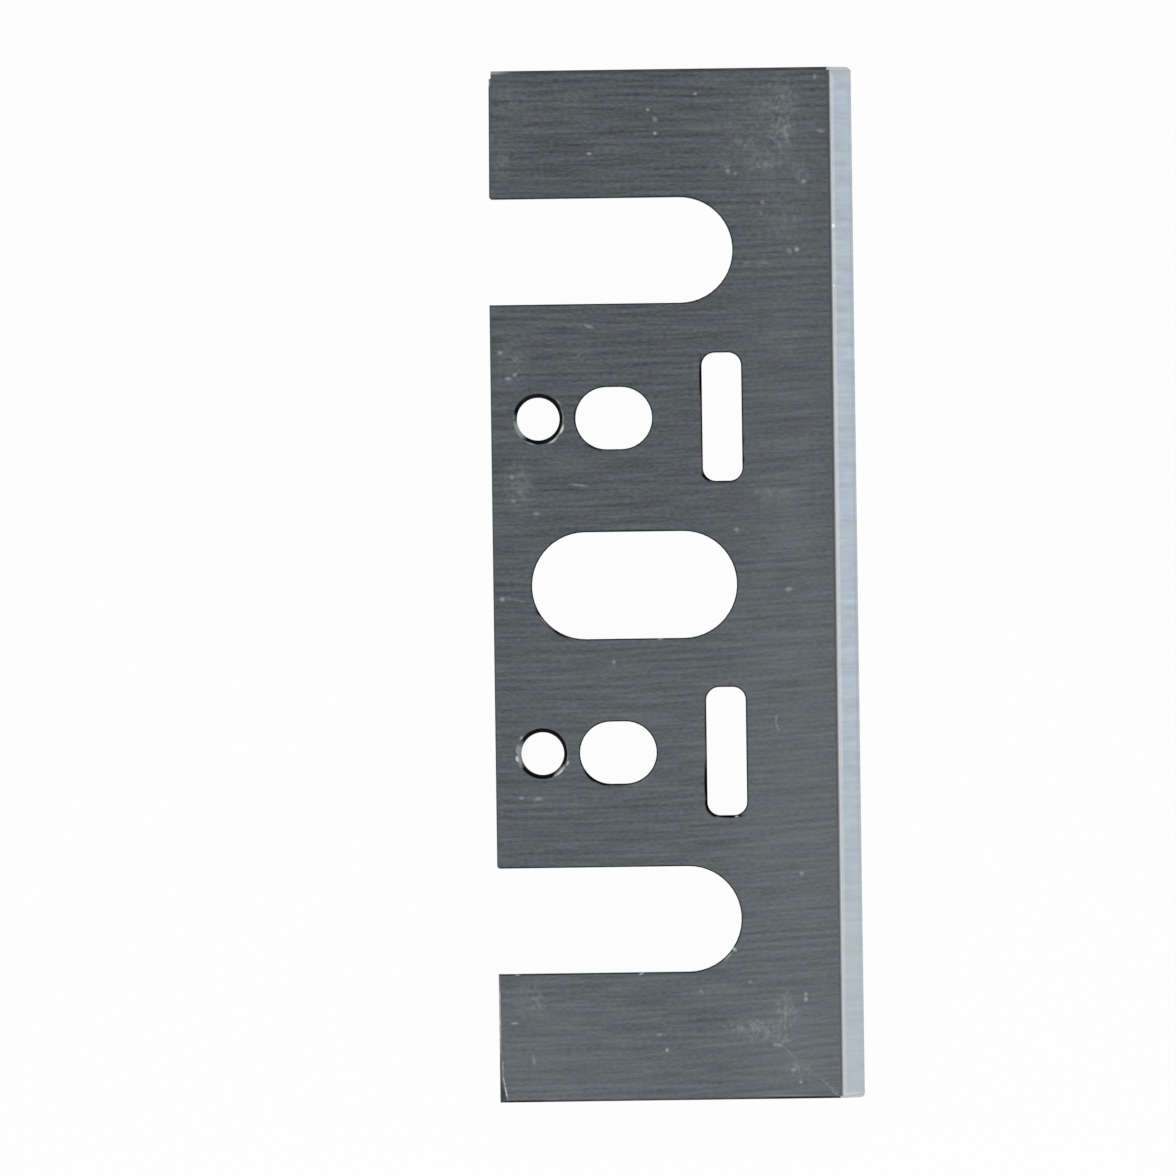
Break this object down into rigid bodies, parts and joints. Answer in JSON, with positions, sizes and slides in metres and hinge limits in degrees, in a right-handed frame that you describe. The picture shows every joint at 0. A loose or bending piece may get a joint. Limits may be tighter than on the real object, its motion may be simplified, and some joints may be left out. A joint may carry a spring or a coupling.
{
  "type": "planer knife",
  "caption": "Wide planer knife of high-speed steel, with one ground cutting edge and clamping slots, locating slots and countersunk screw holes across its body.",
  "frame": {"origin": "middle of the plate on its back face, which lies down", "axes": "+X from the rear edge to the cutting edge, +Y along the knife, +Z from the back up to the face that the bevel is ground on"},
  "size_m": [0.029, 0.082, 0.003],
  "materials": {
    "ground_steel": "high-speed steel, surface ground across its width, with a finer ground bevel"
  },
  "bodies": {
    "root": {"knife": "ground_steel"}
  },
  "joints": []
}
